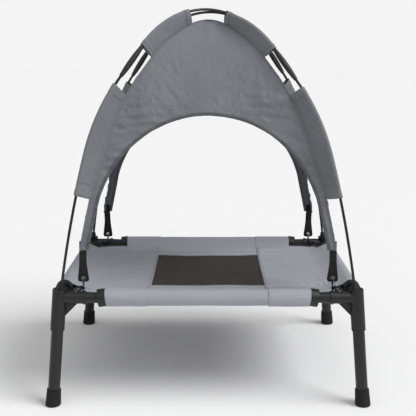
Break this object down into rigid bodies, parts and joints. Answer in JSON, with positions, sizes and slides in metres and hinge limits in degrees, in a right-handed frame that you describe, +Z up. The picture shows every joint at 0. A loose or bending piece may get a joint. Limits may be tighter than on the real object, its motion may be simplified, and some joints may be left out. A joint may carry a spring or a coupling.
{
  "type": "dog bed with canopy",
  "caption": "Raised cot-style pet bed: a sewn mat with a mesh window on a tube frame with splayed plug-in legs, under an arched fabric canopy on crossed bent poles.",
  "frame": {"origin": "on the floor under the middle of the bed", "axes": "+X to the bed's right along its long side, +Y to the back, +Z up"},
  "size_m": [0.6094, 0.4594, 0.7319],
  "materials": {
    "powder_coated_steel": "satin black powder coat",
    "moulded_black": "moulded, fine texture",
    "foot_rubber": "matte",
    "zinc_tube": "satin black powder coat",
    "oxford_light": "woven polyester, coated",
    "mesh_black": "open PVC-coated mesh",
    "binding_navy": "woven tape",
    "oxford_grey": "woven polyester, coated",
    "binding_grey": "woven tape",
    "fibreglass_black": "pultruded, semi gloss",
    "ferrule_black": "shrunk sleeve, satin",
    "webbing_black": "woven elastic webbing",
    "nickel": "rolled, bright",
    "hook_wire": "black plated wire"
  },
  "bodies": {
    "root": {"canopy_arch_bindings": "binding_grey", "canopy_panel_back": "oxford_grey", "canopy_panel_front": "oxford_grey", "canopy_panel_left": "oxford_grey", "canopy_panel_right": "oxford_grey", "corner_bracket_back_left": "moulded_black", "corner_bracket_back_right": "moulded_black", "corner_bracket_front_left": "moulded_black", "corner_bracket_front_right": "moulded_black", "corner_strap_back_left": "webbing_black", "corner_strap_back_right": "webbing_black", "corner_strap_front_left": "webbing_black", "corner_strap_front_right": "webbing_black", "crown_pole_lower": "fibreglass_black", "crown_pole_upper": "fibreglass_black", "lower_sleeve_back_left": "oxford_grey", "lower_sleeve_back_right": "oxford_grey", "lower_sleeve_front_left": "oxford_grey", "lower_sleeve_front_right": "oxford_grey", "mat_corner_bindings": "binding_navy", "mat_mesh_window": "mesh_black", "mat_panel_left": "oxford_light", "mat_panel_right": "oxford_light", "mat_strip_back": "oxford_light", "mat_strip_front": "oxford_light", "pole_ferrule_back_left": "ferrule_black", "pole_ferrule_back_right": "ferrule_black", "pole_ferrule_front_left": "ferrule_black", "pole_ferrule_front_right": "ferrule_black", "rail_back": "zinc_tube", "rail_front": "zinc_tube", "rail_left": "zinc_tube", "rail_right": "zinc_tube", "side_pole_back_left": "fibreglass_black", "side_pole_back_right": "fibreglass_black", "side_pole_front_left": "fibreglass_black", "side_pole_front_right": "fibreglass_black", "strap_eyelets": "nickel", "upper_sleeve_back_left": "oxford_grey", "upper_sleeve_back_right": "oxford_grey", "upper_sleeve_front_left": "oxford_grey", "upper_sleeve_front_right": "oxford_grey"},
    "leg_front_left": {"leg_tube_front_left": "powder_coated_steel", "foot_cap_front_left": "foot_rubber"},
    "hook_front_left": {"strap_hook_front_left": "hook_wire"},
    "leg_front_right": {"leg_tube_front_right": "powder_coated_steel", "foot_cap_front_right": "foot_rubber"},
    "hook_front_right": {"strap_hook_front_right": "hook_wire"},
    "leg_back_left": {"leg_tube_back_left": "powder_coated_steel", "foot_cap_back_left": "foot_rubber"},
    "hook_back_left": {"strap_hook_back_left": "hook_wire"},
    "leg_back_right": {"leg_tube_back_right": "powder_coated_steel", "foot_cap_back_right": "foot_rubber"},
    "hook_back_right": {"strap_hook_back_right": "hook_wire"}
  },
  "joints": [
    {"name": "leg_pull_front_left", "type": "slide", "parent": "root", "child": "leg_front_left", "axis": [-0.0795, -0.0795, -0.9937], "range_m": [0, 0.05]},
    {"name": "hook_swing_front_left", "type": "hinge", "parent": "root", "child": "hook_front_left", "pos_m": [-0.2324, -0.174, 0.2345], "axis": [0, 1, 0], "range_deg": [-3.5, 3.5]},
    {"name": "leg_pull_front_right", "type": "slide", "parent": "root", "child": "leg_front_right", "axis": [0.0795, -0.0795, -0.9937], "range_m": [0, 0.05]},
    {"name": "hook_swing_front_right", "type": "hinge", "parent": "root", "child": "hook_front_right", "pos_m": [0.2324, -0.174, 0.2345], "axis": [0, 1, 0], "range_deg": [-3.5, 3.5]},
    {"name": "leg_pull_back_left", "type": "slide", "parent": "root", "child": "leg_back_left", "axis": [-0.0795, 0.0795, -0.9937], "range_m": [0, 0.05]},
    {"name": "hook_swing_back_left", "type": "hinge", "parent": "root", "child": "hook_back_left", "pos_m": [-0.2324, 0.174, 0.2345], "axis": [0, 1, 0], "range_deg": [-3.5, 3.5]},
    {"name": "leg_pull_back_right", "type": "slide", "parent": "root", "child": "leg_back_right", "axis": [0.0795, 0.0795, -0.9937], "range_m": [0, 0.05]},
    {"name": "hook_swing_back_right", "type": "hinge", "parent": "root", "child": "hook_back_right", "pos_m": [0.2324, 0.174, 0.2345], "axis": [0, 1, 0], "range_deg": [-3.5, 3.5]}
  ]
}
